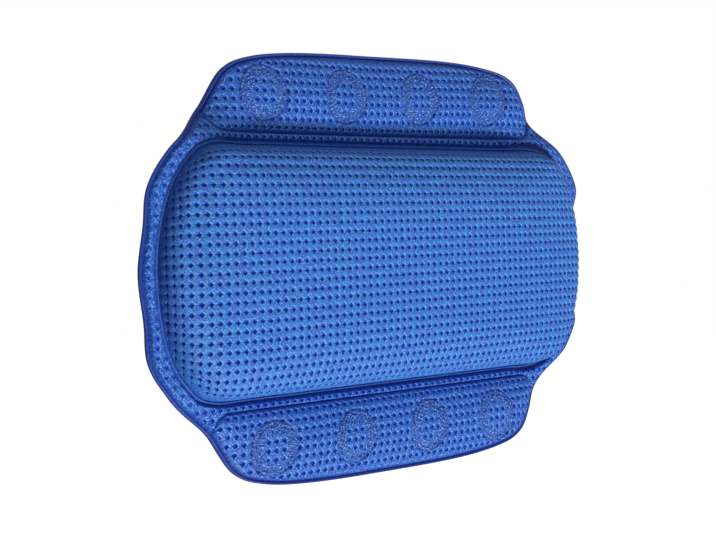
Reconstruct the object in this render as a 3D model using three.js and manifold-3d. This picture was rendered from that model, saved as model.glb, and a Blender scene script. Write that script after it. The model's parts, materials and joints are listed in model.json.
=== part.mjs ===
// Bath pillow with a raised head cushion between two fold-back tabs.
// Each tab carries a row of four suction cups.
// The model is built lying on its back: X across, Y up the pillow, Z out of its front.
// The finished group is then stood up, so that the cup lips touch the plane Y = 0.
import * as THREE from 'three';
import { mergeVertices } from 'three/addons/utils/BufferGeometryUtils.js';
import Module from 'manifold-3d';

const wasm = await Module();
wasm.setup();

// Driving sizes in millimetres
const cushionWidth = 337;
const cushionHeight = 142.2;
const sideFlange = 10;
const tabHeight = 52.9;
const cupStand = 11;
const skin = 0.8;
const layerGap = 0.3;

// Folds between the centre and the tabs: a shallow trench, slit from side to side
const foldOffset = 1.6;
const foldGap = 0.9;
const foldTrench = 2.4;
const foldPress = 0.3;

// Outer edge of the pillow: a bead, a pressed groove and a puffed band
const beadWidth = 2.6;
const beadHeight = 2.5;
const grooveWidth = 0.8;
const bandHeight = 3.3;
const bandShoulder = 2.2;
const edgeRound = 0.5;

// Head cushion: a pressed moat, a smooth rim, a steep wall and a crown
const moatWidth = 2.3;
const moatFlare = 0.3;
const rimWidth = 2.4;
const rimHeight = 2.2;
const wallInset = 12;
const wallHeight = 23.5;
const cushionCrown = 6;

// Tab panels with their round weld marks
const panelInset = 3.4;
const panelGap = 5.9;
const panelCorner = 11;
const panelMoat = 0.7;
const panelEdgeInset = 2.8;
const panelEdgeHeight = 6.2;
const panelCrown = 3.8;
const markRadius = 15.6;
const markInnerRadius = 8.2;
const markDepth = 0.5;

// The sides of the centre are drawn forward by the stretched cover
const rimLift = 8;
const liftWidth = 36;
const liftEnd = 14.5;
const liftFadeStart = 8;
const liftFadeGap = 4.7;

// Suction cups
const cupsPerRow = 4;
const cupEndInset = 42.1;
const cupRadius = 18;
const cupLip = 2;
const cupWall = 1.6;
const cupRoof = 3;
const cupCollar = 4.2;
const neckRadius = 4.2;
const neckHeight = 2;
const discRadius = 13.5;
const discThickness = 1.2;
const bellBendShare = 0.7;

// A quarter of each outline, from the side to the top, as shares of half a width
// and of half the cushion's height, or of the tab's height above the cushion
const sideShares = [[1, 0], [0.981, 0.357], [0.968, 0.637], [0.9, 0.898]];
const tabShares = [[0.74, 0.325], [0.635, 0.766], [0.52, 0.911], [0, 1]];
const cushionShares = [[1, 0], [0.984, 0.36], [0.945, 0.64], [0.895, 0.82],
  [0.835, 0.945], [0.76, 0.995], [0.62, 1], [0, 1]];

// Profiles as shares of an inset and a height
const beadShares = [[0, 0.4], [0.3, 1], [0.85, 0.8]];
const bandShares = [[0, 0], [0.33, 0.67], [1, 1]];
const rimShares = [[0, 0], [0.45, 1], [1, 0.5]];
const wallShares = [[0.12, 0.42], [0.34, 0.74], [0.62, 0.91], [1, 1]];
const panelShares = [[0, 0.1], [0.3, 0.7], [1, 1]];
const floorShares = [0.75, 0.85, 0.93];
const crownShares = [0.6];
const panelCrownShares = [0.85, 0.55];

// Counts of facets
const stepsPerSpan = 2;
const cornerSteps = 4;
const bellSteps = 3;
const roundSides = 20;

// Levels above the back of the pillow
const sheetBottom = skin + layerGap;
const sheetFloor = sheetBottom + skin;
const sheetMiddle = sheetBottom + skin / 2;
const bandTop = sheetFloor + bandHeight;
const cushionTop = sheetFloor + wallHeight;
const overrun = 6;

// Overall sizes, the hinge line of a fold and the places of the cups
const pillowWidth = cushionWidth + sideFlange * 2;
const pillowHeight = cushionHeight + tabHeight * 2;
const foldLine = cushionHeight / 2 + foldOffset;
const liftFadeEnd = foldLine - liftFadeGap;
const panelInnerEdge = cushionHeight / 2 + panelGap;
const tabHalfWidth = tabShares[0][0] * pillowWidth / 2;
const cupPitch = (tabHalfWidth - cupEndInset) * 2 / (cupsPerRow - 1);
const cupRowHeight = (panelInnerEdge + pillowHeight / 2 - panelInset) / 2;

// How far a point at (x, y) is drawn forward; it fades out before the folds
function liftAt(x, y) {
  const end = pillowWidth / 2 - liftEnd;
  const side = THREE.MathUtils.smoothstep(Math.abs(x), end - liftWidth, end);
  return rimLift * side * (1 - THREE.MathUtils.smoothstep(Math.abs(y), liftFadeStart, liftFadeEnd));
}

// A point of the pillow, drawn forward less and less up to the top of the cushion wall
function pillowPoint(x, y, height) {
  const share = Math.max(0, 1 - height / cushionTop);
  return new THREE.Vector3(x, y, height + liftAt(x, y) * share);
}

// Points at shares of half a width and shares of a height above a base
const sharePoints = (shares, width, base, height) => shares.map(([x, y]) => (
  new THREE.Vector3(x * width / 2, base + y * height, 0)
));

// A smooth closed loop from a quarter outline, mirrored about both centre lines
function mirroredLoop(quarter) {
  const left = quarter.slice(0, -1).reverse().map((p) => new THREE.Vector3(-p.x, p.y, 0));
  const upper = [...quarter, ...left];
  const lower = upper.slice(1, -1).reverse().map((p) => new THREE.Vector3(p.x, -p.y, 0));
  const curve = new THREE.CatmullRomCurve3([...upper, ...lower], true);
  const points = curve.getPoints(stepsPerSpan * (upper.length + lower.length));
  return points.slice(0, -1).map((p) => new THREE.Vector2(p.x, p.y));
}

// The loop parallel to a loop at a distance inwards, or outwards if it is negative
function insetLoop(loop, distance) {
  return loop.map((point, i) => {
    const before = loop[(i + loop.length - 1) % loop.length];
    const after = loop[(i + 1) % loop.length];
    const along = after.clone().sub(point).normalize().add(point.clone().sub(before).normalize());
    const reach = distance * 2 / along.lengthSq();
    return new THREE.Vector2(point.x - along.y * reach, point.y + along.x * reach);
  });
}

function centreOf(loop) {
  const box = new THREE.Box2().setFromPoints(loop);
  return box.getCenter(new THREE.Vector2());
}

function scaledLoop(loop, share) {
  const centre = centreOf(loop);
  return loop.map((point) => centre.clone().lerp(point, share));
}

const ring = (loop, height) => ({ loop, height });

// Rings that follow a profile of shares inwards and upwards from a base on a loop
function profileRings(loop, shares, base, width, height) {
  return shares.map(([x, y]) => ring(insetLoop(loop, base.inset + x * width), base.height + y * height));
}

// A closed solid through a chain of rings, from the first one's centre to the last one's.
// Facets slant alike on floors that widen and on faces that narrow, so that layers nest.
function loft(rings, firstHeight = rings[0].height, lastHeight = rings.at(-1).height) {
  const count = rings[0].loop.length;
  const points = rings.flatMap(({ loop, height }) => loop.map((p) => pillowPoint(p.x, p.y, height)));
  const first = points.length;
  const last = first + 1;
  const low = centreOf(rings[0].loop);
  const high = centreOf(rings.at(-1).loop);
  points.push(pillowPoint(low.x, low.y, firstHeight), pillowPoint(high.x, high.y, lastHeight));
  const end = first - count;
  const faces = [];
  for (let i = 0; i < count; i += 1) {
    const next = (i + 1) % count;
    faces.push(first, next, i, last, end + i, end + next);
    for (let start = 0; start < end; start += count) {
      const upper = start + count;
      const widens = Math.abs(points[upper].x) > Math.abs(points[start].x);
      if (widens) faces.push(start + i, start + next, upper + next, start + i, upper + next, upper + i);
      else faces.push(start + i, start + next, upper + i, start + next, upper + next, upper + i);
    }
  }
  const geometry = new THREE.BufferGeometry().setFromPoints(points);
  geometry.setIndex(faces);
  return solidOf(geometry);
}

// A geometry as a solid that can be joined and cut
function solidOf(geometry) {
  geometry.deleteAttribute('normal');
  geometry.deleteAttribute('uv');
  const merged = mergeVertices(geometry);
  return new wasm.Manifold(new wasm.Mesh({
    numProp: 3,
    vertProperties: new Float32Array(merged.attributes.position.array),
    triVerts: new Uint32Array(merged.index.array),
  }));
}

function geometryOf(solid) {
  const mesh = solid.getMesh();
  const geometry = new THREE.BufferGeometry();
  geometry.setAttribute('position', new THREE.BufferAttribute(mesh.vertProperties, 3));
  geometry.setIndex(new THREE.BufferAttribute(mesh.triVerts, 1));
  return geometry;
}

// A block right across the pillow between two heights up it and two levels above its back
function block(fromY, toY, fromLevel, toLevel) {
  const geometry = new THREE.BoxGeometry(pillowWidth + overrun, toY - fromY, toLevel - fromLevel);
  geometry.translate(0, (fromY + toY) / 2, (fromLevel + toLevel) / 2);
  return solidOf(geometry);
}

// Upright round plugs at the cup places between two levels
function plugs(radius, fromLevel, toLevel) {
  const round = cupPlaces.map((place) => {
    const geometry = new THREE.CylinderGeometry(radius, radius, toLevel - fromLevel, roundSides);
    geometry.rotateX(Math.PI / 2);
    geometry.translate(place.x, place.y, (fromLevel + toLevel) / 2);
    return solidOf(geometry);
  });
  return round.reduce((all, one) => all.add(one));
}

const cupPlaces = Array.from({ length: cupsPerRow }, (_, i) => (
  new THREE.Vector2((i - (cupsPerRow - 1) / 2) * cupPitch, cupRowHeight)
));
const outline = mirroredLoop([
  ...sharePoints(sideShares, pillowWidth, 0, cushionHeight / 2),
  ...sharePoints(tabShares, pillowWidth, cushionHeight / 2, tabHeight),
]);
const cushionLoop = mirroredLoop(sharePoints(cushionShares, cushionWidth, 0, cushionHeight / 2));
const cushionFoot = insetLoop(cushionLoop, rimWidth + skin);
const crownTop = cushionTop + cushionCrown;

// Rings of a level floor under the cushion, so that it follows the lifted sides
function floorRings(height) {
  return floorShares.map((share) => ring(scaledLoop(cushionLoop, share), height));
}

// The wall and the crown of the cushion, at a depth inside its outer face
function cushionRings(depth) {
  const base = { inset: rimWidth + depth, height: sheetFloor + rimHeight / 2 - depth };
  const wall = profileRings(cushionLoop, wallShares, base, wallInset, wallHeight - rimHeight / 2);
  const shoulder = wall.at(-1);
  const crown = crownShares.map((share) => ring(
    scaledLoop(shoulder.loop, share),
    shoulder.height + cushionCrown * (1 - share ** 2),
  ));
  return [...wall, ...crown];
}

// The front cover in one sheet, from inside the hollow cushion round its edge to the crown
function frontSheet() {
  const bandBase = { inset: beadWidth + grooveWidth, height: sheetFloor };
  const floorBase = { inset: 0, height: sheetFloor };
  const rings = [
    ...cushionRings(skin).reverse(),
    ring(cushionFoot, sheetBottom),
    ring(cushionLoop, sheetBottom),
    ring(insetLoop(outline, edgeRound), sheetBottom),
    ...profileRings(outline, beadShares, floorBase, beadWidth, beadHeight),
    ring(insetLoop(outline, beadWidth), sheetFloor),
    ...profileRings(outline, bandShares, bandBase, bandShoulder, bandHeight),
    ring(insetLoop(cushionLoop, -moatWidth - moatFlare), bandTop),
    ring(insetLoop(cushionLoop, -moatWidth), sheetFloor),
    ...profileRings(cushionLoop, rimShares, floorBase, rimWidth, rimHeight),
    ...cushionRings(0),
  ];
  return loft(rings, crownTop - skin, crownTop);
}

// The back cover in one sheet
function backSheet() {
  return loft([
    ...floorRings(0),
    ring(cushionLoop, 0),
    ring(insetLoop(outline, edgeRound), 0),
    ring(outline, edgeRound),
    ring(outline, skin),
    ring(cushionLoop, skin),
    ring(cushionFoot, skin),
    ...floorRings(skin).reverse(),
  ]);
}

// The foam that fills the cushion, a gap inside its cover
function cushionFoam() {
  const depth = skin + layerGap;
  const foot = insetLoop(cushionLoop, rimWidth + depth);
  const rings = [...floorRings(sheetBottom), ring(foot, sheetBottom), ...cushionRings(depth)];
  return loft(rings, sheetBottom, crownTop - depth);
}

// The loop of the upper tab's panel: the outline moved in, closed by a straight inner edge
function panelOutline() {
  const start = sideShares.length * stepsPerSpan;
  const end = (sideShares.length + tabShares.length - 1) * 2 * stepsPerSpan - start;
  const outer = insetLoop(outline, panelInset).slice(start, end + 1);
  const side = outer[0];
  const left = Array.from({ length: cornerSteps }, (_, i) => {
    const turn = Math.PI / 2 * (i + 1) / cornerSteps;
    const x = side.x - panelCorner * (1 - Math.cos(turn));
    return new THREE.Vector2(-x, side.y - (side.y - panelInnerEdge) * Math.sin(turn));
  });
  const right = left.map((p) => new THREE.Vector2(-p.x, p.y)).reverse();
  return [...outer, ...left, new THREE.Vector2(0, panelInnerEdge), ...right];
}

const panelLoop = panelOutline();

// The panel from a level up, with its edge and its crown, at a depth inside its outer face
function panelForm(bottom, depth) {
  const base = { inset: depth, height: sheetFloor - depth };
  const edge = profileRings(panelLoop, panelShares, base, panelEdgeInset, panelEdgeHeight);
  const shoulder = edge.at(-1);
  const crown = panelCrownShares.map((share) => ring(
    scaledLoop(shoulder.loop, share),
    shoulder.height + panelCrown * (1 - share ** 2),
  ));
  const foot = ring(insetLoop(panelLoop, depth), bottom);
  return loft([foot, ...edge, ...crown], bottom, shoulder.height + panelCrown);
}

// The pressed channel round the panel
function panelChannel() {
  const outer = insetLoop(panelLoop, -panelMoat);
  return loft([ring(outer, sheetFloor), ring(insetLoop(outer, -moatFlare), bandTop + overrun)]);
}

// The annular weld marks over the cups, sunk into the face of the panel
function weldMarks() {
  const top = sheetFloor + panelEdgeHeight + panelCrown + overrun;
  return plugs(markRadius, sheetMiddle, top)
    .subtract(plugs(markInnerRadius, 0, top + overrun))
    .subtract(panelForm(0, markDepth));
}

// The parts of a cover between the folds and above the upper fold
const centreOfCover = (cover) => cover.intersect(
  block(-foldLine + foldGap / 2, foldLine - foldGap / 2, -overrun, crownTop + overrun),
);
const tabOfCover = (cover) => cover.intersect(
  block(foldLine + foldGap / 2, pillowHeight / 2 + overrun, -overrun, crownTop + overrun),
);

// The trench along a fold, on the upper or the lower side
function trench(side) {
  const middle = side * foldLine;
  return block(middle - foldTrench / 2, middle + foldTrench / 2, sheetFloor - foldPress, bandTop + overrun);
}

function tabFrontCover(cover) {
  return tabOfCover(cover)
    .subtract(trench(1))
    .subtract(panelChannel())
    .add(panelForm(sheetMiddle, 0))
    .subtract(panelForm(skin, skin))
    .subtract(weldMarks());
}

function tabBackCover(cover) {
  return tabOfCover(cover).subtract(plugs(neckRadius + layerGap, -overrun, overrun));
}

// The foam that fills a tab, with a pocket over each cup's disc
function tabFoam() {
  const pockets = plugs(discRadius + layerGap, 0, sheetBottom + discThickness + layerGap);
  return panelForm(sheetBottom, skin + layerGap).subtract(pockets);
}

// A suction cup: hollow bell, neck through the back cover and disc inside the tab
function suctionCup() {
  const hollowTop = -neckHeight - cupRoof;
  const hollowRadius = cupRadius - cupLip;
  const bend = (fromR, fromZ, bendR, bendZ, toR, toZ) => new THREE.QuadraticBezierCurve(
    new THREE.Vector2(fromR, fromZ),
    new THREE.Vector2(bendR, bendZ),
    new THREE.Vector2(toR, toZ),
  ).getPoints(bellSteps);
  const profile = [
    ...bend(0, hollowTop, hollowRadius * bellBendShare, hollowTop, hollowRadius, -cupStand),
    ...bend(cupRadius, -cupStand, cupRadius - cupWall, -neckHeight, neckRadius + cupCollar, -neckHeight),
    new THREE.Vector2(neckRadius, -neckHeight),
    new THREE.Vector2(neckRadius, sheetBottom),
    new THREE.Vector2(discRadius, sheetBottom),
    new THREE.Vector2(discRadius, sheetBottom + discThickness),
    new THREE.Vector2(0, sheetBottom + discThickness),
  ];
  return new THREE.LatheGeometry(profile, roundSides).rotateX(Math.PI / 2);
}

const coverBlue = { color: 0x335aa9, roughness: 0.45, metalness: 0 };
const backBlue = { color: 0x2a4d98, roughness: 0.5, metalness: 0 };
const foamWhite = { color: 0xe9e6da, roughness: 0.95, metalness: 0 };
const clearVinyl = { color: 0xd5dde2, roughness: 0.2, metalness: 0 };

function addPiece(parent, name, geometry, finish) {
  const mesh = new THREE.Mesh(geometry, new THREE.MeshStandardMaterial(finish));
  mesh.name = name;
  parent.add(mesh);
  return mesh;
}

const front = frontSheet();
const back = backSheet();
const frontCentre = centreOfCover(front).subtract(trench(1)).subtract(trench(-1));
const tabFront = geometryOf(tabFrontCover(front));
const tabBack = geometryOf(tabBackCover(back));
const tabPad = geometryOf(tabFoam());
const cup = suctionCup();

// A tab with its row of cups; the lower one is the upper one turned end for end
function addTab(parent, side, turn) {
  const tab = new THREE.Group();
  tab.rotation.z = turn;
  parent.add(tab);
  addPiece(tab, `front_cover_${side}_tab`, tabFront, coverBlue);
  addPiece(tab, `back_cover_${side}_tab`, tabBack, backBlue);
  addPiece(tab, `${side}_tab_foam`, tabPad, foamWhite);
  cupPlaces.forEach((place, i) => {
    const number = turn ? cupsPerRow - i : i + 1;
    addPiece(tab, `suction_cup_${side}_${number}`, cup, clearVinyl).position.set(place.x, place.y, 0);
  });
}

const pillow = new THREE.Group();
addPiece(pillow, 'front_cover_centre', geometryOf(frontCentre), coverBlue);
addPiece(pillow, 'back_cover_centre', geometryOf(centreOfCover(back)), backBlue);
addPiece(pillow, 'head_cushion_foam', geometryOf(cushionFoam()), foamWhite);
addTab(pillow, 'upper', 0);
addTab(pillow, 'lower', Math.PI);

pillow.rotation.x = Math.PI / 2;
pillow.position.y = -cupStand;

export default pillow;
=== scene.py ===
import json
import math

import bpy
import numpy as np
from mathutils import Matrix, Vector
from mathutils.kdtree import KDTree


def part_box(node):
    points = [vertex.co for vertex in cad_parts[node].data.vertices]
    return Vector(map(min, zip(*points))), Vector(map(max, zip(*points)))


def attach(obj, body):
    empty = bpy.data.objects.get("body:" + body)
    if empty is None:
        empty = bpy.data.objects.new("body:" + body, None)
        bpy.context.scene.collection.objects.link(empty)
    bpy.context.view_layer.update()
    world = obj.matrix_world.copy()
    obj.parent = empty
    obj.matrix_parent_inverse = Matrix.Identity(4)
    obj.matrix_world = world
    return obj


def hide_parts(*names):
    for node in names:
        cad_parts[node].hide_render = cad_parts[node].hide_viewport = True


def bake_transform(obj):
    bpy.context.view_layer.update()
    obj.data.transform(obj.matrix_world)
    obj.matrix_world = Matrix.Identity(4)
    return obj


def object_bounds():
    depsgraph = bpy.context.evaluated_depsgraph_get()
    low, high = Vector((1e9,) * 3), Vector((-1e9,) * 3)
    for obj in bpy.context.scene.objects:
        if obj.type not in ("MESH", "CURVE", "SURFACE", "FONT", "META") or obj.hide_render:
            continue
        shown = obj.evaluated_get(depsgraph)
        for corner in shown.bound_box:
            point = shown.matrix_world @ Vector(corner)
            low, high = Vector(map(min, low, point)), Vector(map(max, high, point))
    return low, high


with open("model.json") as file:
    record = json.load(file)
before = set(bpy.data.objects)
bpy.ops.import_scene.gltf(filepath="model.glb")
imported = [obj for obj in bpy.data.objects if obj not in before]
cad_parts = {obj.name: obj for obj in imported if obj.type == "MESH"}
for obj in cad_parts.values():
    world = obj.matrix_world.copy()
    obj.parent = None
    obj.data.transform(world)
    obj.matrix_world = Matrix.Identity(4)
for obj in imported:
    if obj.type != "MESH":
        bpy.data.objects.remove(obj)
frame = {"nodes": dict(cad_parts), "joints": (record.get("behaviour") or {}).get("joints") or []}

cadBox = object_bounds()
mm = 0.001

# The camera was fitted to the eight round weld marks in the photo
view = {
    "imageWidth": 716,
    "focalPixels": 1436.3,
    "sensor": 36,
    "place": (-0.5925, -0.6366, 0.0167),
    "turn": (88.705, 1.808, -42.628),
}


def addCamera():
    camera = bpy.data.objects.new("camera", bpy.data.cameras.new("camera"))
    bpy.context.scene.collection.objects.link(camera)
    camera.data.sensor_width = view["sensor"]
    camera.data.lens = view["sensor"] * view["focalPixels"] / view["imageWidth"]
    camera.location = view["place"]
    camera.rotation_euler = [math.radians(angle) for angle in view["turn"]]
    bpy.context.scene.camera = camera


addCamera()
print("camera set")


# Sizes of the pillow in millimetres: X across, Z up, and a height above its back

fold = next(j for j in frame["joints"] if j["name"] == "upper_tab_fold")
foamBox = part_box("head_cushion_foam")
footGap = 3.5       # from the widest line of the foam to the foot of its cover

pillow = {
    "backY": fold["pos_m"][1] / mm,
    "foldZ": fold["pos_m"][2] / mm,
    "halfWidth": cadBox[1].x / mm,
    "halfHeight": cadBox[1].z / mm,
    "cushionHalfWidth": foamBox[1].x / mm + footGap,
    "cushionHalfHeight": foamBox[1].z / mm + footGap,
    "cushionRise": 23.5,    # from the floor of the grooves to the top of the wall
    "bend": (-1.1, 3.6),    # distances from a fold, read but not used to bend the covers
    "floor": 1.9,           # level of the pressed vinyl in the grooves
    "sideLift": 8,          # the sides are drawn forward, the upper ones a little more
    "upperLift": 3,
    "lowerLift": -3,
    "liftEnd": 14.5,
    "liftWidth": 36,
    "upperFade": (70, 88),
    "lowerFade": (60, 80),
    "cadFade": (8, 68),
    "rightLift": 1.2,
    "rightDip": (28, 46),   # the middle of the right flange hides behind the cushion
    "rightDrop": 4.5,
    "curl": (82, 124),      # the right ends of the tabs curl forward, the left ones back
    "curlRise": (80, 98),
    "rightCurl": (7, 4),
    "leftCurl": (-1.2, -2.5),
    "upperPull": (3.2, 2.9),    # the right ends of the tabs are pulled out, and up or down
    "lowerPull": (3.4, -1.7),
    "outReach": (30, 105),
    "outRise": ((90, 118), (86, 112)),
    "upReach": (-20, 105),
    "upRise": ((71, 88), (84, 116)),
}

# A quarter of each outline, from the side to the top, as shares of its half sizes
sideShares = [(1, 0), (0.981, 0.357), (0.968, 0.637), (0.9, 0.898)]
tabShares = [(0.74, 0.325), (0.635, 0.766), (0.52, 0.911), (0, 1)]
cushionShares = [(1, 0), (0.984, 0.36), (0.945, 0.64), (0.895, 0.82),
                 (0.835, 0.945), (0.76, 0.995), (0.62, 1), (0, 1)]
loopSteps = 24      # points between two of these


def smoothCurve(points, steps, closed=True):
    # centripetal curve through the points
    p = np.array(points, float)
    if closed:
        before, after, beyond = np.roll(p, 1, 0), np.roll(p, -1, 0), np.roll(p, -2, 0)
    else:
        padded = np.vstack([2 * p[0] - p[1], p, 2 * p[-1] - p[-2]])
        before, p, after, beyond = padded[:-3], padded[1:-2], padded[2:-1], padded[3:]
    gap0 = np.linalg.norm(p - before, axis=1)[:, None] ** 0.5
    gap1 = np.linalg.norm(after - p, axis=1)[:, None] ** 0.5
    gap2 = np.linalg.norm(beyond - after, axis=1)[:, None] ** 0.5
    leave = ((p - before) / gap0 - (after - before) / (gap0 + gap1) + (after - p) / gap1) * gap1
    arrive = ((after - p) / gap1 - (beyond - p) / (gap1 + gap2) + (beyond - after) / gap2) * gap1
    t = np.linspace(0, 1, steps, endpoint=False)[None, :, None]
    a, b, m, n = (v[:, None, :] for v in (p, after, leave, arrive))
    curve = ((2 * t**3 - 3 * t**2 + 1) * a + (t**3 - 2 * t**2 + t) * m
             + (3 * t**2 - 2 * t**3) * b + (t**3 - t**2) * n).reshape(-1, p.shape[1])
    return curve if closed else np.vstack([curve, after[-1]])


def mirroredLoop(quarter):
    left = [(-x, z) for x, z in quarter[-2::-1]]
    upper = quarter + left
    lower = [(x, -z) for x, z in upper[-2:0:-1]]
    return smoothCurve(upper + lower, loopSteps)


def inwardNormals(loop):
    along = np.roll(loop, -1, 0) - np.roll(loop, 1, 0)
    along /= np.linalg.norm(along, axis=1)[:, None]
    return np.stack([-along[:, 1], along[:, 0]], 1)


def insetLoop(loop, distance):
    return loop + inwardNormals(loop) * distance


def nearestOn(loop, points):
    # for each point: how far inside the loop it is, the nearest point of the loop and the way out
    tree = KDTree(len(loop))
    for i, (x, z) in enumerate(loop):
        tree.insert((x, z, 0), i)
    tree.balance()
    index = np.array([tree.find((x, z, 0))[1] for x, z in points])
    best = np.full(len(points), np.inf)
    spot = np.zeros_like(points)
    side = np.zeros(len(points))
    for step in (-1, 0):
        a = loop[(index + step) % len(loop)]
        b = loop[(index + step + 1) % len(loop)]
        span = b - a
        share = np.clip(((points - a) * span).sum(1) / (span**2).sum(1), 0, 1)
        near = a + share[:, None] * span
        gap = points - near
        distance = np.linalg.norm(gap, axis=1)
        closer = distance < best
        best = np.where(closer, distance, best)
        spot = np.where(closer[:, None], near, spot)
        side = np.where(closer, span[:, 0] * gap[:, 1] - span[:, 1] * gap[:, 0], side)
    inside = best * np.sign(side)
    outward = (spot - points) * np.sign(inside)[:, None] / np.maximum(best, 1e-9)[:, None]
    return inside, spot, outward


def gaugeOf(loop, points, centre):
    # share of the way from the centre to the loop
    spokes = loop - centre
    angles = np.arctan2(spokes[:, 1], spokes[:, 0])
    order = np.argsort(angles)
    arms = points - centre
    reach = np.interp(np.arctan2(arms[:, 1], arms[:, 0]), angles[order],
                      np.linalg.norm(spokes, axis=1)[order], period=2 * math.pi)
    return np.linalg.norm(arms, axis=1) / reach


def ease(x, low, high):
    t = np.clip((x - low) / (high - low), 0, 1)
    return t * t * (3 - 2 * t)


outline = mirroredLoop(
    [(x * pillow["halfWidth"], z * pillow["cushionHalfHeight"]) for x, z in sideShares]
    + [(x * pillow["halfWidth"], pillow["cushionHalfHeight"]
        + z * (pillow["halfHeight"] - pillow["cushionHalfHeight"])) for x, z in tabShares])
cushionLoop = mirroredLoop([(x * pillow["cushionHalfWidth"], z * pillow["cushionHalfHeight"])
                            for x, z in cushionShares])
cushionTop = pillow["floor"] + pillow["cushionRise"]


def liftShare(across, end):
    return ease(abs(across), end - pillow["liftWidth"], end)


def cadLift(plan):
    share = liftShare(plan[:, 0], pillow["halfWidth"] - pillow["liftEnd"])
    return pillow["sideLift"] * share * (1 - ease(abs(plan[:, 1]), *pillow["cadFade"]))


def liftOf(plan):
    # how far each place of the resting pillow is drawn forward
    x, z = plan[:, 0], plan[:, 1]
    quarter = outline[(outline >= -1e-9).all(1)]
    quarter = quarter[np.argsort(quarter[:, 1])]
    end = np.interp(abs(z), quarter[:, 1], quarter[:, 0]) - pillow["liftEnd"]
    amount = (pillow["sideLift"] + pillow["upperLift"] * ease(z, 0, pillow["upperFade"][0])
              + pillow["lowerLift"] * ease(-z, 0, pillow["lowerFade"][0]))
    dip = 1 - ease(abs(z), *pillow["rightDip"])
    amount += (x > 0) * (pillow["rightLift"] - pillow["rightDrop"] * dip)
    fade = (1 - ease(z, *pillow["upperFade"])) * (1 - ease(-z, *pillow["lowerFade"]))
    lift = amount * fade * liftShare(x, end)
    upperEnd, lowerEnd = ease(z, *pillow["curlRise"]), ease(-z, *pillow["curlRise"])
    for way, curl in ((1, pillow["rightCurl"]), (-1, pillow["leftCurl"])):
        lift = lift + ease(way * x, *pillow["curl"]) * (curl[0] * upperEnd + curl[1] * lowerEnd)
    return lift


def pulled(plan):
    # the plan with the right ends of the tabs pulled out
    x, z = plan[:, 0], plan[:, 1]
    (outUpper, rise), (outLower, fall) = pillow["upperPull"], pillow["lowerPull"]
    upperOut, lowerOut = pillow["outRise"]
    upperUp, lowerUp = pillow["upRise"]
    across = x + ease(x, *pillow["outReach"]) * (outUpper * ease(z, *upperOut)
                                                 + outLower * ease(-z, *lowerOut))
    up = z + ease(x, *pillow["upReach"]) * (rise * ease(z, *upperUp) + fall * ease(-z, *lowerUp))
    return across, up


def place(plan, height):
    # a point of the pillow in metres; the lift ends at the top of the cushion wall
    front = height + liftOf(plan) * np.maximum(0, 1 - height / cushionTop)
    across, up = pulled(plan)
    return np.stack([across, pillow["backY"] - front, up], 1) * mm


# Mesh helpers

def deselectAll():
    for obj in bpy.context.selected_objects:
        obj.select_set(False)


def pick(active, *others):
    # selects the objects alone, with the first one active
    deselectAll()
    for obj in (*others, active):
        obj.select_set(True)
    bpy.context.view_layer.objects.active = active


def readPoints(obj):
    co = np.zeros(len(obj.data.vertices) * 3, np.float32)
    obj.data.vertices.foreach_get("co", co)
    return co.reshape(-1, 3).astype(float)


def writePoints(obj, points):
    obj.data.vertices.foreach_set("co", np.asarray(points, np.float32).ravel())
    obj.data.update()


def readNormals(obj):
    n = np.zeros(len(obj.data.vertices) * 3, np.float32)
    obj.data.vertex_normals.foreach_get("vector", n)
    return n.reshape(-1, 3).astype(float)


def faceCorners(obj):
    corners = np.zeros(len(obj.data.loops), np.int32)
    obj.data.loops.foreach_get("vertex_index", corners)
    return corners


def addGrid(name, across, up):
    # a flat sheet whose mesh lines are at the given places, in plan millimetres
    deselectAll()
    bpy.ops.mesh.primitive_grid_add(x_subdivisions=len(across) - 1, y_subdivisions=len(up) - 1, size=2)
    obj = bpy.context.object
    obj.name = obj.data.name = name
    co = readPoints(obj)
    column = np.rint((co[:, 0] + 1) / 2 * (len(across) - 1)).astype(int)
    row = np.rint((co[:, 1] + 1) / 2 * (len(up) - 1)).astype(int)
    flat = np.stack([np.asarray(across)[column], np.asarray(up)[row], np.zeros(len(co))], 1)
    writePoints(obj, flat)
    return obj


def trimGrid(obj, keep):
    # deletes the faces that have no corner to keep
    corners = faceCorners(obj).reshape(-1, 4)
    drop = ~keep[corners].any(1)
    bpy.ops.object.mode_set(mode="EDIT")
    bpy.ops.mesh.select_mode(type="FACE")
    bpy.ops.mesh.select_all(action="DESELECT")
    bpy.ops.object.mode_set(mode="OBJECT")
    obj.data.polygons.foreach_set("select", drop)
    bpy.ops.object.mode_set(mode="EDIT")
    bpy.ops.mesh.delete(type="FACE")
    bpy.ops.object.mode_set(mode="OBJECT")
    return readPoints(obj)[:, :2]


def addStrip(name, loop, rings, side=0):
    # a strip wrapped round a loop, or its upper or lower half: rings are pairs of an inset and a height
    half = len(loop) // 2
    first, count = {0: (0, len(loop)), 1: (0, half), -1: (half, half)}[side]
    obj = addGrid(name, np.arange(count + 1), np.arange(len(rings)))
    flat = readPoints(obj)
    index = (flat[:, 0].astype(int) + first) % len(loop)
    ring = flat[:, 1].astype(int)
    rings = np.array(rings, float)
    plan = loop[index] + inwardNormals(loop)[index] * rings[ring, 0][:, None]
    writePoints(obj, place(plan, rings[ring, 1]))
    return obj, plan, index


def setSheetMap(obj, flat, pitch):
    # the UV map holds the place on the flat vinyl, counted in pits
    layer = obj.data.uv_layers.new(name="sheet")
    layer.data.foreach_set("uv", (flat / pitch)[faceCorners(obj)].astype(np.float32).ravel())


def setMasks(obj, emboss, pressedAndShade, pebble):
    # what the finish needs to know, each as one number or as one for each vertex
    # the second mask darkens the weld lines and paints shade in the grooves, on the edge bead and on the
    # cushion's wall
    for name, values in (("emboss", emboss), ("pressedAndShade", pressedAndShade), ("pebble", pebble)):
        attribute = obj.data.attributes.new(name, "FLOAT", "POINT")
        filled = np.broadcast_to(values, len(obj.data.vertices))
        attribute.data.foreach_set("value", filled.astype(np.float32))


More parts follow.
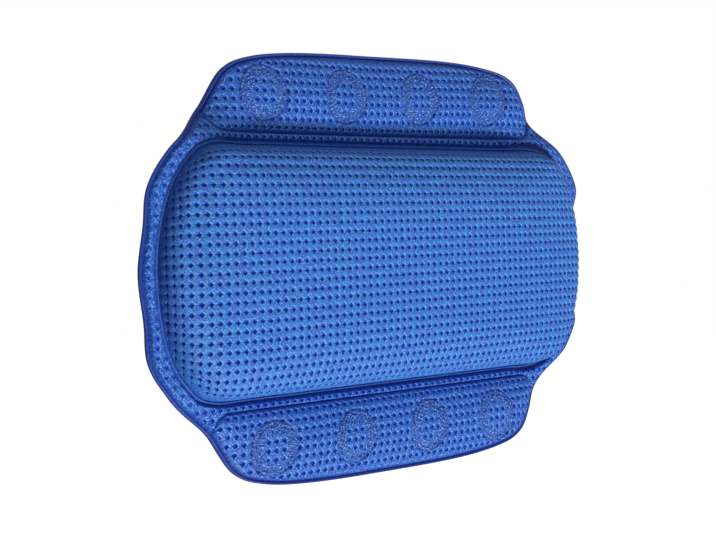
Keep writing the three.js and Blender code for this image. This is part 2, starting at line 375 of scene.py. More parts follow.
def smoothShade(obj):
    obj.data.polygons.foreach_set("use_smooth", np.ones(len(obj.data.polygons), bool))
    obj.data.update()


def closeSeam(obj, reach=0.08):
    # the two halves of a cover meet at mid height with the same normals
    co = readPoints(obj)
    normals = readNormals(obj)
    seam = abs(co[:, 2]) < reach * mm
    co[seam, 2] = 0
    normals[seam, 2] = 0
    normals /= np.linalg.norm(normals, axis=1)[:, None]
    writePoints(obj, co)
    obj.data.normals_split_custom_set_from_vertices(normals)


def joinInto(target, part):
    pick(target, part)
    bpy.ops.object.join()
    return target


def mergeClose(obj, gap=0.00002):
    pick(obj)
    bpy.ops.object.mode_set(mode="EDIT")
    bpy.ops.mesh.select_all(action="SELECT")
    bpy.ops.mesh.remove_doubles(threshold=gap)
    bpy.ops.object.mode_set(mode="OBJECT")


def turnInsideOut(obj):
    pick(obj)
    bpy.ops.object.mode_set(mode="EDIT")
    bpy.ops.mesh.select_all(action="SELECT")
    bpy.ops.mesh.flip_normals()
    bpy.ops.object.mode_set(mode="OBJECT")


def halfSpan(side):
    # the heights between which the upper or the lower half of the pillow lies
    return (0, pillow["halfHeight"]) if side > 0 else (-pillow["halfHeight"], 0)


# The embossed vinyl: diamond pits on a square grid that follows the sheet

embossing = {
    "cushionPitch": 5.2,
    "coverPitch": 5.27,
    "pit": (0.08, 0.31),    # its floor and its rim, as shares of the pitch
    "depth": 0.9,
    "swell": 0.42,          # the sheet bulges between its pits
    "crease": 0.12,
    "creaseWidth": 0.06,
    "cushionLines": (0, 0.07, 0.15, 0.25, 0.5, 0.75, 0.85, 0.93),
    "coverLines": (0, 0.07, 0.14, 0.21, 0.3, 0.4, 0.5, 0.6, 0.7, 0.79, 0.86, 0.93),
}


def sheetLines(low, high, pitch, shares):
    counts = range(math.floor(low / pitch), math.ceil(high / pitch) + 1)
    lines = np.array([(n + share) * pitch for n in counts for share in shares])
    return lines[(lines >= low) & (lines <= high)]


def embossed(flat, pitch, strength):
    # depth of the sheet's surface in millimetres, deepest at the pits
    share = np.abs(flat / pitch - np.rint(flat / pitch))
    pit = 1 - ease(share.sum(1), *embossing["pit"])
    swell = np.cos(share[:, 0] * 2 * math.pi) + np.cos(share[:, 1] * 2 * math.pi)
    crease = np.exp(-(share[:, 1] / embossing["creaseWidth"]) ** 2) * embossing["crease"]
    return strength * (pit * embossing["depth"] + swell * embossing["swell"] / 2 + crease)


def pressIn(obj, depth):
    points = readPoints(obj)
    writePoints(obj, points - readNormals(obj) * depth[:, None] * mm)


# Head cushion: a crowned dome with steep sides and a smooth rim round its foot

cushion = {
    "rimInset": 1.6,
    "wall": [(0, 2.6), (1.44, 12.4), (4.08, 19.6), (7.44, 23.4), (12, 25.4)],
    "crown": 6,
    "crownPower": 5,
    "leftSag": 2.2,         # the left shoulder is softer than the right one
    "sagReach": (110, 150),
    "sagCorner": (45, 70),
    "sagStart": (0, 4),     # distances from the foot of the wall
    "sagEnd": (8, 20),
    "sideShort": 4.6,       # the wall is shorter where the flange is lifted
    "shortReach": (118, 150),
    "rim": [(-0.9, 1.6), (-0.3, 1.8), (0, 2.4), (0.25, 3.1), (0.6, 3.5), (1.0, 3.35), (1.35, 2.8),
            (1.6, 2.5)],
    "bareSide": 1.2,        # no pits lie nearer to the foot than this
    "bareEdge": 8.5,
    "bareTurn": (0.5, 0.9),
    "footWidth": 2.5,       # the foot of the wall in the groove, with a painted violet shade
    # painted violet shade on the rim round the wall's foot
    "rimShade": 0.7,
    "wallShade": 0.6,       # painted shade: the sides and the top of the wall are painted a darker blue
    "shadeEnd": (12, 24),
    "shadeTurn": (-0.7, -0.1),
}


def leftSag(plan, depth):
    # the depth is the distance from the foot of the wall
    corner = ease(abs(plan[:, 1]), *cushion["sagCorner"])
    left = ease(-plan[:, 0], *cushion["sagReach"]) * (1 - 0.5 * corner)
    return (cushion["leftSag"] * left * ease(depth, *cushion["sagStart"])
            * (1 - ease(depth, *cushion["sagEnd"])))


def makeCushionCover():
    wallInset = cushion["wall"][-1][0]
    shoulder = insetLoop(cushionLoop, cushion["rimInset"] + wallInset)
    wall = smoothCurve(cushion["wall"][::-1], 16, closed=False)
    arc = np.concatenate([[0], np.cumsum(np.linalg.norm(np.diff(wall, axis=0), axis=1))])
    wallLength = arc[-1]
    reach = shoulder.max(0) + wallLength + 1
    pitch = embossing["cushionPitch"]
    across = sheetLines(-reach[0], reach[0], pitch, embossing["cushionLines"])
    up = sheetLines(-reach[1], reach[1], pitch, embossing["cushionLines"])
    obj = addGrid("head_cushion_cover", across, up)
    flat = readPoints(obj)[:, :2]
    inside, spot, _ = nearestOn(shoulder, flat)
    shorter = cushion["sideShort"] * ease(abs(spot[:, 0]), *cushion["shortReach"])
    flat = trimGrid(obj, inside > shorter - wallLength)
    inside, spot, outward = nearestOn(shoulder, flat)
    shorter = cushion["sideShort"] * ease(abs(spot[:, 0]), *cushion["shortReach"])
    along = np.clip(-inside, 0, wallLength - shorter)
    along = along + shorter * ease(along / (wallLength - shorter), 0.4, 1)
    past = inside < 0
    fromFoot = np.interp(along, arc, wall[:, 0])
    plan = np.where(past[:, None], spot + outward * (wallInset - fromFoot)[:, None], flat)
    share = np.clip(gaugeOf(shoulder, flat, np.zeros(2)), 0, 1)
    height = np.where(past, np.interp(along, arc, wall[:, 1]),
                      wall[0, 1] + cushion["crown"] * (1 - share ** cushion["crownPower"]))
    height = height - leftSag(plan, np.where(past, fromFoot, inside + wallInset))
    writePoints(obj, place(plan, height))
    foot = wallLength - along
    turned = ease(abs(outward[:, 1]), *cushion["bareTurn"])
    bare = cushion["bareSide"] + (cushion["bareEdge"] - cushion["bareSide"]) * turned
    strength = ease(foot, bare, bare * 1.3 + 1)
    pressIn(obj, embossed(flat, pitch, strength))
    setSheetMap(obj, flat, pitch)
    # painted shade on the sides and top of the wall and at its foot, carried in the second mask
    shade = (cushion["wallShade"] * (1 - ease(foot, *cushion["shadeEnd"]))
             * ease(outward[:, 1], *cushion["shadeTurn"]))
    setMasks(obj, strength, np.maximum(1 - ease(foot, 0, cushion["footWidth"]), shade), 0)
    rim, _, _ = addStrip("cushion_rim", cushionLoop, cushion["rim"])
    mergeClose(rim)
    setSheetMap(rim, readPoints(rim)[:, (0, 2)] / mm, pitch)
    setMasks(rim, 0, cushion["rimShade"], 0)
    smoothShade(obj)
    smoothShade(rim)
    return joinInto(obj, rim)


cushionCover = makeCushionCover()
print("cushion cover made,", len(cushionCover.data.polygons), "faces")


# Covers of the tabs, each with its half of the side flanges

cover = {
    "bead": [(0.5, 0.9), (0.15, 1.0), (0, 1.4), (0.05, 2.0), (0.25, 2.55), (0.55, 2.85), (0.85, 2.85),
             (1.15, 2.7), (1.45, 2.4), (1.7, 2.1), (1.9, 1.9), (2.15, 1.8)],
    # the edge bead is painted dark as shade
    "beadShade": 1.15,
    "grooveMiddle": 2.1,
    "grooveEnd": 2.2,
    "grooveWidth": 0.45,
    "bandHeight": 3.5,
    "bandShoulder": 1.4,
    "moat": (0.6, 2.2),
    "moatFoot": 0.3,
    "rightMoat": 1.6,       # the moat lies farther out at the right end
    "rightReach": (105, 135),
    "panelInset": 2.3,
    "panelInnerGap": 5.4,
    "panelCorner": 11,
    "panelEdge": 1.7,
    "panelEdgeHeight": (1.5, 3.1),      # at its outer edge and beside the cushion
    "panelEdgeReach": (4, 32),
    "panelCrown": 5.8,
    "panelCrownWidth": 24,
    "panelLine": 1.1,       # a thin welded line follows the panel's edge
    "panelLineDepth": 0.25,
    "panelSag": 3.2,        # the left ends are softer
    "panelSagReach": (60, 108),
    "channel": (0.1, 0.9),
    "flangeCalm": 0.35,     # the side flanges are embossed less
    "flangeReach": (118, 135),
}

mark = {
    "radius": 15.6,
    "innerRadius": 8.6,
    "depth": 0.45,
    "line": 0.9,
    "lineWidth": 0.6,
    "innerLine": 2.6,       # a second, weaker line lies this far inside the first
    "pebbles": 0.42,
    "pebbleSize": 1.3,
    "pebbleWaves": 14,
    "pebbleSeed": 7,
}


def panelLoopOf():
    # the outline moved in, closed by a straight inner edge with round corners
    innerEdge = pillow["cushionHalfHeight"] + cover["panelInnerGap"]
    moved = insetLoop(outline, cover["panelInset"])
    start = len(sideShares) * loopSteps
    end = (len(sideShares) + len(tabShares) - 1) * 2 * loopSteps - start
    outer = moved[start:end + 1]
    side = outer[0]
    turns = np.linspace(0, math.pi / 2, 15)[1:]
    x = side[0] - cover["panelCorner"] * (1 - np.cos(turns))
    z = side[1] - (side[1] - innerEdge) * np.sin(turns)
    left = np.stack([-x, z], 1)
    right = np.stack([x, z], 1)[::-1]
    middle = np.linspace(left[-1], right[0], 60)[1:-1]
    return np.vstack([outer, left, middle, right])


panelLoop = panelLoopOf()
cupBoxes = [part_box(f"suction_cup_upper_{number}") for number in range(1, 5)]
cupPlaces = [(low + high) / 2 / mm for low, high in cupBoxes]


def pebbles(plan):
    # a cobbled relief from a few crossed waves
    random = np.random.default_rng(mark["pebbleSeed"])
    total = np.zeros(len(plan))
    for _ in range(mark["pebbleWaves"]):
        angle = random.uniform(0, math.pi)
        wave = 2 * math.pi / (mark["pebbleSize"] * random.uniform(0.8, 1.7))
        push = random.uniform(0, 2 * math.pi)
        total += np.cos((plan @ (math.cos(angle), math.sin(angle))) * wave + push)
    return np.tanh(total / 2.2)


def coverShape(plan):
    # height of the cover over its plan, and the masks of its finish, painted shade among them
    inside = nearestOn(outline, plan)[0]
    out = -nearestOn(cushionLoop, plan)[0]
    panel = nearestOn(panelLoop, plan)[0]
    floor = pillow["floor"]
    rise = np.sin(np.clip((inside - cover["grooveEnd"]) / cover["bandShoulder"], 0, 1) * math.pi / 2)
    right = ease(plan[:, 0], *cover["rightReach"])
    moat = ease(out - cover["rightMoat"] * right, *cover["moat"])
    channel = ease(-panel, *cover["channel"])
    band = rise * np.minimum(moat, channel)
    height = floor + cover["bandHeight"] * band
    edge = np.clip(panel / cover["panelEdge"], 0, 1)
    crown = np.clip(panel / cover["panelCrownWidth"], 0, 1)
    onPanel = panel > 0
    line = np.exp(-((panel - cover["panelLine"]) / cover["grooveWidth"]) ** 2)
    edgeLine = np.exp(-(panel / cover["grooveWidth"]) ** 2)
    low, high = cover["panelEdgeHeight"]
    left = ease(-plan[:, 0], *cover["panelSagReach"])
    fromInner = plan[:, 1] - pillow["cushionHalfHeight"] - cover["panelInnerGap"]
    innerSide = 1 - ease(fromInner, *cover["panelEdgeReach"])
    raised = (floor + (low + (high - low) * innerSide * (1 - 0.4 * left)) * (1 - (1 - edge) ** 3)
              + cover["panelCrown"] * (1 - (1 - crown) ** 2) - cover["panelLineDepth"] * line
              - cover["panelSag"] * left * crown)
    height = np.where(onPanel, raised, height)
    strength = np.where(onPanel, ease(panel, 1.0, 1.8),
                        ease(np.minimum(inside - cover["grooveEnd"], out - cover["moat"][0]), 0.5, 1.3)
                        * ease(-panel, 0.7, 1.3))
    pebble = np.zeros(len(plan))
    weld = np.zeros(len(plan))
    for middle in cupPlaces:
        r = np.linalg.norm(plan - (middle.x, middle.z), axis=1)
        ring = ease(r, mark["innerRadius"] - 1.2, mark["innerRadius"] + 1.2) * (
            1 - ease(r, mark["radius"] - 0.4, mark["radius"] + 0.4))
        height -= mark["depth"] * ring
        for radius, part in ((mark["radius"], 1), (mark["radius"] - mark["innerLine"], 0.5)):
            pressedLine = part * np.exp(-((r - radius) / mark["lineWidth"]) ** 2)
            height -= mark["line"] * pressedLine
            weld = np.maximum(weld, pressedLine)
        pebble = np.maximum(pebble, ring)
        strength = strength * (1 - 0.85 * ring)
    flange = ease(abs(plan[:, 0]), *cover["flangeReach"]) * ease(80 - abs(plan[:, 1]), 0, 12)
    strength = strength * (1 - cover["flangeCalm"] * flange)
    height += mark["pebbles"] * pebble * pebbles(plan)
    # painted shade along the panel's edge, in the grooves and beside the cushion at the right end, with the
    # weld lines and the marks' lines darkened
    pressedAndShade = np.where(onPanel, 1 - ease(panel, 0, 0.8) + 0.5 * line + 0.9 * weld, (1 - band) ** 1.5)
    # the inner line of the last mark is a little darker than the others
    pressedAndShade += 0.5 * edgeLine + 0.7 * pressedLine + 0.5 * right * (1 - moat)
    return height, strength, pressedAndShade, pebble


def makeTabCover(name, side):
    grooveMiddle = cover["grooveMiddle"]
    pitch = embossing["coverPitch"]
    across = sheetLines(-pillow["halfWidth"], pillow["halfWidth"], pitch, embossing["coverLines"])
    up = sheetLines(*halfSpan(side), pitch, embossing["coverLines"])
    obj = addGrid(name, across, up)
    flat = readPoints(obj)[:, :2]
    inside = nearestOn(outline, flat)[0] - grooveMiddle
    out = -nearestOn(cushionLoop, flat)[0] - cover["moatFoot"]
    flat = trimGrid(obj, (inside > 0) & (out > 0))
    inside, spot, outward = nearestOn(outline, flat)
    flat = np.where((inside < grooveMiddle)[:, None], spot - outward * grooveMiddle, flat)
    inside, spot, outward = nearestOn(cushionLoop, flat)
    flat = np.where((inside > -cover["moatFoot"])[:, None], spot + outward * cover["moatFoot"], flat)
    upper = flat * (1, side)
    height, strength, pressedAndShade, pebble = coverShape(upper)
    writePoints(obj, place(flat, height))
    pressIn(obj, embossed(flat, pitch, strength))
    setSheetMap(obj, flat, pitch)
    setMasks(obj, strength, pressedAndShade, pebble)
    bead, plan, _ = addStrip(name + "_bead", outline, cover["bead"], side)
    setSheetMap(bead, plan, pitch)
    setMasks(bead, 0, cover["beadShade"], 0)
    smoothShade(obj)
    smoothShade(bead)
    joinInto(obj, bead)
    closeSeam(obj)
    return obj


upperCover = makeTabCover("upper_tab_cover", 1)
lowerCover = makeTabCover("lower_tab_cover", -1)
print("tab covers made,", len(upperCover.data.polygons), "faces each")


# Back cover: a plain sheet with the welds showing as pressed lines

back = {
    "cell": 1.6,
    "edgeInset": 0.5,
    "edge": [(0.5, 0.9), (0.1, 0.6), (0.15, 0.2), (0.5, 0)],
    "weldDepth": 0.35,
    "weldWidth": 1.3,
    "outlineWeld": 3.0,     # how far inside each loop its weld lies
    "cushionWeld": -1.2,
    "panelWeld": -0.6,
}


def makeBackCover(name, side):
    low, high = halfSpan(side)
    across = np.arange(-pillow["halfWidth"] - 1, pillow["halfWidth"] + 1, back["cell"])
    up = np.linspace(low, high, int(pillow["halfHeight"] / back["cell"]) + 1)
    obj = addGrid(name, across, up)
    flat = readPoints(obj)[:, :2]
    inside = nearestOn(outline, flat)[0]
    flat = trimGrid(obj, inside > back["edgeInset"])
    inside, spot, outward = nearestOn(outline, flat)
    flat = np.where((inside < back["edgeInset"])[:, None], spot - outward * back["edgeInset"], flat)
    upper = flat * (1, side)
    weld = np.zeros(len(flat))
    for loop, inset in ((outline, "outlineWeld"), (cushionLoop, "cushionWeld"), (panelLoop, "panelWeld")):
        gap = nearestOn(loop, upper)[0] - back[inset]
        weld = np.maximum(weld, np.exp(-(gap / back["weldWidth"]) ** 2))
    writePoints(obj, place(flat, weld * back["weldDepth"]))
    edge, _, _ = addStrip(name + "_edge", outline, back["edge"], side)
    smoothShade(obj)
    smoothShade(edge)
    joinInto(obj, edge)
    turnInsideOut(obj)
    closeSeam(obj)
    return obj


upperBack = makeBackCover("upper_back_cover", 1)
lowerBack = makeBackCover("lower_back_cover", -1)
print("back covers made")

# Suction cups: one spun from its outline, then copied to each place

cup = {
    "lip": 18,
    "lipWidth": 2,
    "stand": 11,
    "roof": 3,
    "neck": 4.2,
    "neckHeight": 2,
    "collar": 8.4,
    "disc": 13.5,
    "discBottom": 1.1,
    "discTop": 2.3,
    "sides": 56,
}


def cupOutline():
    # pairs of a radius and a height above the pillow's back, from the hollow's top to the disc
    hollow = cup["lip"] - cup["lipWidth"]
    inner = [(0, -cup["neckHeight"] - cup["roof"]), (6, -cup["neckHeight"] - cup["roof"] - 0.2),
             (11, -6.6), (14.2, -8.6), (hollow, -cup["stand"])]
    outer = [(cup["lip"], -cup["stand"]), (17.7, -cup["stand"] + 0.8), (15.4, -7.2), (12, -4.4),
             (cup["collar"], -2.6)]
    top = [(cup["collar"] - 0.8, -cup["neckHeight"]), (cup["neck"] + 0.6, -cup["neckHeight"]),
           (cup["neck"], -cup["neckHeight"] + 0.5), (cup["neck"], cup["discBottom"]),
           (cup["disc"], cup["discBottom"]), (cup["disc"], cup["discTop"]), (0, cup["discTop"])]
    return [*smoothCurve(inner, 5, closed=False), *smoothCurve(outer, 5, closed=False), *top]


def makeCup():
    points = [(radius * mm, 0, height * mm) for radius, height in cupOutline()]
    mesh = bpy.data.meshes.new("suction_cup")
    mesh.from_pydata(points, [(i, i + 1) for i in range(len(points) - 1)], [])
    obj = bpy.data.objects.new("suction_cup", mesh)
    bpy.context.scene.collection.objects.link(obj)
    pick(obj)
    bpy.ops.object.mode_set(mode="EDIT")
    bpy.ops.mesh.select_mode(type="VERT")
    bpy.ops.mesh.select_all(action="SELECT")
    bpy.ops.mesh.spin(steps=cup["sides"], angle=2 * math.pi, center=(0, 0, 0), axis=(0, 0, 1))
    bpy.ops.mesh.select_all(action="SELECT")
    bpy.ops.mesh.remove_doubles(threshold=0.00001)
    bpy.ops.mesh.normals_make_consistent(inside=False)
    bpy.ops.object.mode_set(mode="OBJECT")
    bpy.ops.object.shade_smooth_by_angle(angle=math.radians(40))
    return obj


def placeCups():
    model = makeCup()
    points = readPoints(model)
    placed = []
    for side in ("upper", "lower"):
        for number in range(1, 5):
            low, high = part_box(f"suction_cup_{side}_{number}")
            middle = (low + high) / 2
            copy = model.copy()
            copy.data = model.data.copy()
            copy.name = copy.data.name = f"cup_{side}_{number}"
            bpy.context.scene.collection.objects.link(copy)
            writePoints(copy, np.stack([points[:, 0] + middle.x, pillow["backY"] * mm - points[:, 2],
                                        points[:, 1] + middle.z], 1))
            placed.append((copy, side, number))
    bpy.data.objects.remove(model)
    return placed


cups = placeCups()
print(len(cups), "suction cups made")


# Foam pads under the covers, taken from the CAD pads and softened

foam = {
    "voxel": 0.0028,
    "smoothing": 0.5,
    "repeats": 3,
    "gap": 0.5,
    "tabGap": 1.7,          # the tabs' pads are pressed flatter by their covers
    "tabBottom": 1.4,
}


def makeFoam(name, node):
    source = frame["nodes"][node]
    obj = bpy.data.objects.new(name, source.data.copy())
    bpy.context.scene.collection.objects.link(obj)
    mergeClose(obj)
    remesh = obj.modifiers.new("remesh", "REMESH")
    remesh.mode = "VOXEL"
    remesh.voxel_size = foam["voxel"]
    smooth = obj.modifiers.new("smooth", "SMOOTH")
    smooth.factor = foam["smoothing"]
    smooth.iterations = foam["repeats"]
    for modifier in ("remesh", "smooth"):
        bpy.ops.object.modifier_apply(modifier=modifier)
    co = readPoints(obj)
    plan, height = co[:, (0, 2)] / mm, pillow["backY"] - co[:, 1] / mm
    drawn = cadLift(plan)
    height = np.where(height < cushionTop, (height - drawn) / (1 - drawn / cushionTop), height)
    lift = (liftOf(plan) - drawn) * np.maximum(0, 1 - height / cushionTop)
    if name == "cushion_foam":
        sag = leftSag(plan, nearestOn(cushionLoop, plan)[0]) * np.clip(height / 12, 0, 1)
    else:
        room = coverShape(np.stack([plan[:, 0], abs(plan[:, 1])], 1))[0] - foam["tabGap"]
        sag = np.maximum(0, height - np.maximum(room, foam["tabBottom"]))
    across, up = pulled(plan)
    writePoints(obj, np.stack([across * mm, co[:, 1] - (lift - sag) * mm, up * mm], 1))
    pressIn(obj, np.full(len(co), foam["gap"]))
    obj.data.materials.clear()
    smoothShade(obj)
    return obj


foams = [(makeFoam(name, node), node, body) for name, node, body in (
    ("cushion_foam", "head_cushion_foam", "centre"),
    ("upper_foam", "upper_tab_foam", "upper_tab"),
    ("lower_foam", "lower_tab_foam", "lower_tab"))]
print("foam pads made")


# Materials. An expression on wires adds its Math nodes.

class Wire:
    def __init__(self, finish, socket):
        self.finish = finish
        self.socket = socket

    def maths(self, operation, *others):
        terms = dict(enumerate((self, *others)))
        return self.finish.node("ShaderNodeMath", {"operation": operation}, terms)

    def __add__(self, other):
        return self.maths("ADD", other)

    def __sub__(self, other):
        return self.maths("SUBTRACT", other)

    def __rsub__(self, other):
        return (self * -1) + other

    def __mul__(self, other):
        return self.maths("MULTIPLY", other)

    __radd__ = __add__
    __rmul__ = __mul__

    def between(self, low, high, fromValue=0, toValue=1):
        # a soft step from one value to another
        return self.finish.node("ShaderNodeMapRange", {"interpolation_type": "SMOOTHSTEP"},
                                {"Value": self, "From Min": low, "From Max": high,
                                 "To Min": fromValue, "To Max": toValue})


class Finish:
    def __init__(self, name):
        self.material = bpy.data.materials.new(name)
        self.material.use_nodes = True
        self.tree = self.material.node_tree
        self.shader = self.tree.nodes["Principled BSDF"]

    def node(self, kind, settings=None, inputs=None, output=0):
        node = self.tree.nodes.new(kind)
        for key, value in (settings or {}).items():
            setattr(node, key, value)
        for key, value in (inputs or {}).items():
            self.put(node.inputs[key], value)
        return Wire(self, node.outputs[output])

    def put(self, socket, value):
        if isinstance(value, Wire):
            self.tree.links.new(value.socket, socket)
        else:
            socket.default_value = value

    def mix(self, share, first, second):
        node = self.tree.nodes.new("ShaderNodeMix")
        node.data_type = "RGBA"
        self.put(node.inputs["Factor"], share)
        colours = [socket for socket in node.inputs if socket.type == "RGBA"]
        self.put(colours[0], first)
        self.put(colours[1], second)
        return Wire(self, next(socket for socket in node.outputs if socket.type == "RGBA"))

    def bump(self, height, distance, strength):
        inputs = {"Height": height, "Distance": distance, "Strength": strength}
        return self.node("ShaderNodeBump", {}, inputs)

    def surface(self, **values):
        for name, value in values.items():
            self.put(self.shader.inputs[name.replace("_", " ")], value)
        return self.material


def paint(red, green, blue):
    # an sRGB colour from 0 to 255 as a linear one
    linear = [((c / 255 + 0.055) / 1.055) ** 2.4 if c > 10 else c / 255 / 12.92 for c in (red, green, blue)]
    return (*linear, 1)


vinylLook = {
    "cushion": (paint(40, 116, 197), paint(44, 94, 188)),
    # the tabs use a darker copy of the cushion's vinyl
    "tab": (paint(23, 90, 180), paint(28, 74, 177)),
    "shade": paint(22, 74, 160),
    "shine": paint(132, 184, 244),
    "glint": paint(166, 206, 250),
    "navy": paint(0, 60, 176),
    "violet": paint(40, 66, 154),
    "dark": paint(12, 34, 104),
    "roughness": 0.36,
    "specular": 0.3,
    "pit": (0.22, 0.31),
}


def coverVinyl(name, first, second):
    finish = Finish(name)
    look = vinylLook
    sheet = finish.node("ShaderNodeUVMap", {"uv_map": "sheet"})
    across = finish.node("ShaderNodeSeparateXYZ", {}, {0: sheet}, output=0)
    up = finish.node("ShaderNodeSeparateXYZ", {}, {0: sheet}, output=1)
    emboss = finish.node("ShaderNodeAttribute", {"attribute_name": "emboss"}, output=2)
    pressedAndShade = finish.node("ShaderNodeAttribute", {"attribute_name": "pressedAndShade"}, output=2)
    pebble = finish.node("ShaderNodeAttribute", {"attribute_name": "pebble"}, output=2)
    right = (across + 0.5).maths("FRACT") - 0.5
    above = (up + 0.5).maths("FRACT") - 0.5
    side, rise = right.maths("ABSOLUTE"), above.maths("ABSOLUTE")
    wobble = finish.node("ShaderNodeTexNoise", {}, {"Vector": sheet, "Scale": 2.3, "Detail": 1.0})
    tint = finish.node("ShaderNodeTexNoise", {}, {"Vector": sheet, "Scale": 0.8, "Detail": 2.0})
    speck = finish.node("ShaderNodeTexNoise", {}, {"Vector": sheet, "Scale": 5.0, "Detail": 2.0,
                                                   "Roughness": 0.6})
    grain = finish.node("ShaderNodeTexNoise", {}, {"Vector": sheet, "Scale": 9.0, "Detail": 3.0})
    diamond = side + rise + (wobble - 0.5) * 0.08
    pit = diamond.between(*look["pit"], 1, 0) * emboss
    crease = rise.between(0, 0.06, 1, 0) * emboss
    seam = side.between(0, 0.05, 1, 0) * emboss
    lip = diamond.between(0.3, 0.36) * diamond.between(0.42, 0.54, 1, 0) * emboss
    lit = lip * (right + above).between(-0.05, 0.3)
    colour = finish.mix(tint.between(0.33, 0.67), second, first)
    colour = finish.mix(speck.between(0.3, 0.5, 0.5, 0), colour, look["shade"])
    # painted highlight: sparkle specks mixed to a light blue
    colour = finish.mix(speck.between(0.5, 0.72, 0, 0.75), colour, look["shine"])
    colour = finish.mix(pebble * 0.25, colour, look["shade"])
    # painted glints on the pebbled annulus of each weld mark
    colour = finish.mix(pebble * speck.between(0.52, 0.64) * 0.5, colour, look["glint"])
    # painted highlight on the pits' lips, stronger on their upper right sides
    colour = finish.mix(lit * grain.between(0.3, 0.6) * 0.75, colour, look["shine"])
    # painted shade in the creases and seams between the pits
    colour = finish.mix(crease * 0.4 + seam * 0.2, colour, look["navy"])
    # painted shade: the second mask tints violet, and dark above 1, in the grooves, on the bead, on the
    # cushion's wall and along the weld lines
    colour = finish.mix(pressedAndShade * 0.8, colour, look["violet"])
    colour = finish.mix(pressedAndShade.between(1, 1.5) * 0.8, colour, look["dark"])
    # painted shade: the pits are coloured navy
    colour = finish.mix(pit * 0.95, colour, look["navy"])
    relief = (lip * 0.4 - pit * 0.5 - crease * 0.2 - seam * 0.12 + speck * 0.8 + grain * 0.5
              + speck * pebble * 1.5)
    bumped = finish.bump(relief, 0.0005, 1.0)
    finish.shader.inputs["Specular IOR Level"].default_value = look["specular"]
    return finish.surface(Base_Color=colour, Normal=bumped,
                          Roughness=grain * 0.3 + look["roughness"] - 0.15 + pit * 0.25)


def backVinyl():
    finish = Finish("back_vinyl")
    spot = finish.node("ShaderNodeTexCoord", {}, output=3)
    grain = finish.node("ShaderNodeTexNoise", {}, {"Vector": spot, "Scale": 900.0, "Detail": 3.0})
    cloud = finish.node("ShaderNodeTexNoise", {}, {"Vector": spot, "Scale": 18.0, "Detail": 3.0})
    colour = finish.mix(grain.between(0.3, 0.7), paint(34, 74, 158), paint(46, 92, 184))
    colour = finish.mix(cloud.between(0.35, 0.7) * 0.4, colour, vinylLook["violet"])
    bumped = finish.bump(grain + cloud * 2, 0.0003, 0.7)
    return finish.surface(Base_Color=colour, Normal=bumped, Roughness=cloud * 0.2 + 0.4)


def foamFinish():
    finish = Finish("foam")
    spot = finish.node("ShaderNodeTexCoord", {}, output=3)
    cells = finish.node("ShaderNodeTexVoronoi", {}, {"Vector": spot, "Scale": 900.0})
    colour = finish.mix(cells.between(0.1, 0.6), paint(236, 230, 210), paint(206, 197, 172))
    return finish.surface(Base_Color=colour, Normal=finish.bump(cells, 0.0005, 0.8),
                          Roughness=cells * 0.1 + 0.85)


def clearVinyl():
    finish = Finish("clear_vinyl")
    spot = finish.node("ShaderNodeTexCoord", {}, output=3)
    haze = finish.node("ShaderNodeTexNoise", {}, {"Vector": spot, "Scale": 160.0, "Detail": 3.0})
    colour = finish.mix(haze.between(0.3, 0.7), paint(226, 234, 238), paint(205, 218, 226))
    finish.surface(Base_Color=colour, Normal=finish.bump(haze, 0.0004, 0.35),
                   Roughness=haze * 0.18 + 0.06)
    finish.shader.inputs["Transmission Weight"].default_value = 0.75
    finish.shader.inputs["IOR"].default_value = 1.46
    return finish.material


def dress(obj, material):
    obj.data.materials.clear()
    obj.data.materials.append(material)


def dressAll():
    for material, pieces in (
            (coverVinyl("cushion_vinyl", *vinylLook["cushion"]), [cushionCover]),
            (coverVinyl("tab_vinyl", *vinylLook["tab"]), [upperCover, lowerCover]),
            (backVinyl(), [upperBack, lowerBack]),
            (foamFinish(), [obj for obj, _, _ in foams]),
            (clearVinyl(), [obj for obj, _, _ in cups])):
        for piece in pieces:
            dress(piece, material)


dressAll()
print("materials made")


# The cushion cover, the cups and the foams ride on their bodies; the tab and back covers stay in place.
# Each piece stands for its CAD nodes

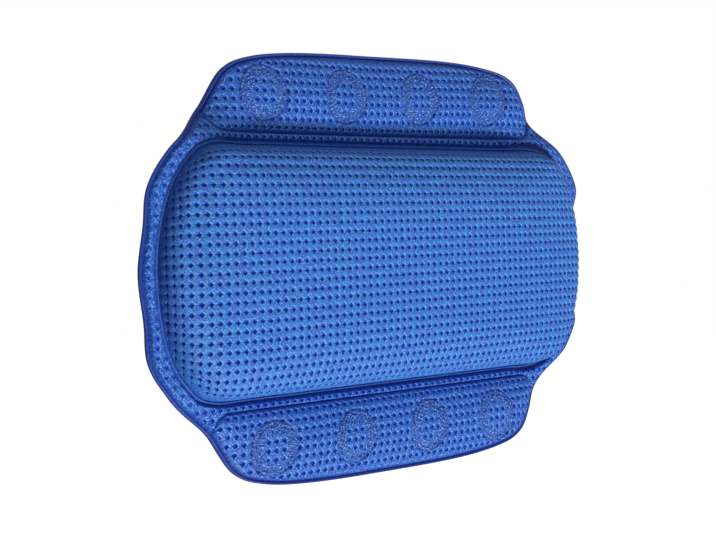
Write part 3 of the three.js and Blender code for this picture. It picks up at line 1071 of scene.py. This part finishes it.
def settle():
    start, end = (pillow["foldZ"] + reach for reach in pillow["bend"])
    level = pillow["backY"] * mm
    halves = (("upper", 1, upperCover, upperBack), ("lower", -1, lowerCover, lowerBack))
    for side, way, front, rear in halves:
        for piece, kind in ((front, "front"), (rear, "back")):
            way * start * mm
            way * end * mm
            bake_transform(piece)
            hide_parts(f"{kind}_cover_{side}_tab")
            "cover_vinyl" if kind == "front" else "back_vinyl"
    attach(cushionCover, "centre")
    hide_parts("front_cover_centre")
    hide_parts("back_cover_centre")
    for piece, side, number in cups:
        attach(piece, f"{side}_tab")
        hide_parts(f"suction_cup_{side}_{number}")
    for piece, node, body in foams:
        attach(piece, body)
        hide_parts(node)


settle()


# Floor, soft light and a white studio

studio = {
    "floorZ": -2.6,
    "ambient": 0.28,
    "lights": [
        # name, place, size, power
        ("key", (0, -1.86, -2.26), 0.7, 92),
        ("fill", (0, -1.6, 0.8), 1.0, 7.5),
    ],
}


def addFloor():
    # a white floor that only the camera sees
    deselectAll()
    bpy.ops.mesh.primitive_plane_add(size=60, location=(0, 0, studio["floorZ"]))
    floor = bpy.context.object
    floor.name = "floor"
    finish = Finish("floor")
    finish.shader.inputs["Emission Strength"].default_value = 1
    dress(floor, finish.surface(Emission_Color=(1, 1, 1, 1), Roughness=0.9))
    floor.visible_diffuse = False
    floor.visible_glossy = False
    floor.visible_transmission = False


def addLight(name, spot, size, power):
    light = bpy.data.lights.new(name, "AREA")
    light.shape = "DISK"
    light.size = size
    light.energy = power
    lamp = bpy.data.objects.new(name, light)
    bpy.context.scene.collection.objects.link(lamp)
    lamp.location = spot
    lamp.rotation_euler = (-Vector(spot)).to_track_quat("-Z", "Y").to_euler()


def setWorld():
    # white to the camera, dimmer as light
    world = bpy.data.worlds.new("studio")
    world.use_nodes = True
    sky = world.node_tree.nodes["Background"]
    ray = world.node_tree.nodes.new("ShaderNodeLightPath")
    strength = world.node_tree.nodes.new("ShaderNodeMapRange")
    world.node_tree.links.new(ray.outputs["Is Camera Ray"], strength.inputs["Value"])
    strength.inputs["To Min"].default_value = studio["ambient"]
    world.node_tree.links.new(strength.outputs["Result"], sky.inputs["Strength"])
    sky.inputs["Color"].default_value = (1, 1, 1, 1)
    bpy.context.scene.world = world
    bpy.context.scene.view_settings.view_transform = "Standard"


addFloor()
for lamp in studio["lights"]:
    addLight(*lamp)
setWorld()
print("stage and light set")
